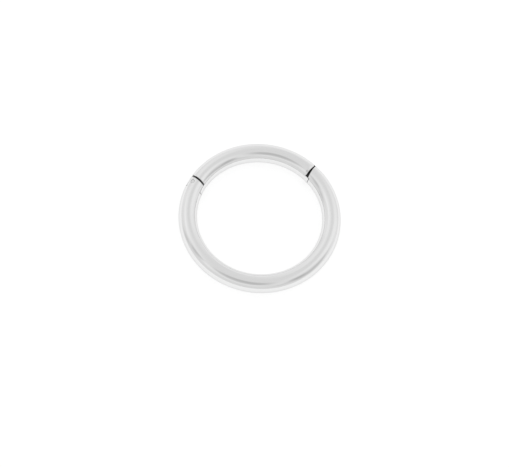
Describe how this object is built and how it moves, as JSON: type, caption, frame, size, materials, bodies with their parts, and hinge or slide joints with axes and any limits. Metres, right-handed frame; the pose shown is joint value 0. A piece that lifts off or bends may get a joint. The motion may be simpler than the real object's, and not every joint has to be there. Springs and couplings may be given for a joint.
{
  "type": "hinged segment ring",
  "caption": "Round-wire body jewellery ring whose upper arc swings open on a small pin hinge and shuts its flat tongue into a slotted end.",
  "frame": {"origin": "centre of the ring on the plane that the ring lies on", "axes": "+Z along the ring's axis, which is also the way the hinge pin points; +Y from the centre to the middle of the hinged segment; +X towards the catch side, seen from above"},
  "size_m": [0.0104, 0.0104, 0.0012],
  "materials": {
    "body_steel": "polished",
    "segment_steel": "polished",
    "pin_steel": "polished"
  },
  "bodies": {
    "body": {"ring_body": "body_steel", "hinge_pin": "pin_steel"},
    "segment": {"hinged_segment": "segment_steel"}
  },
  "joints": [
    {"name": "segment_hinge", "type": "hinge", "parent": "body", "child": "segment", "pos_m": [-0.00404, 0.00271, 0.0006], "axis": [0, 0, 1], "range_deg": [0, 76]}
  ]
}
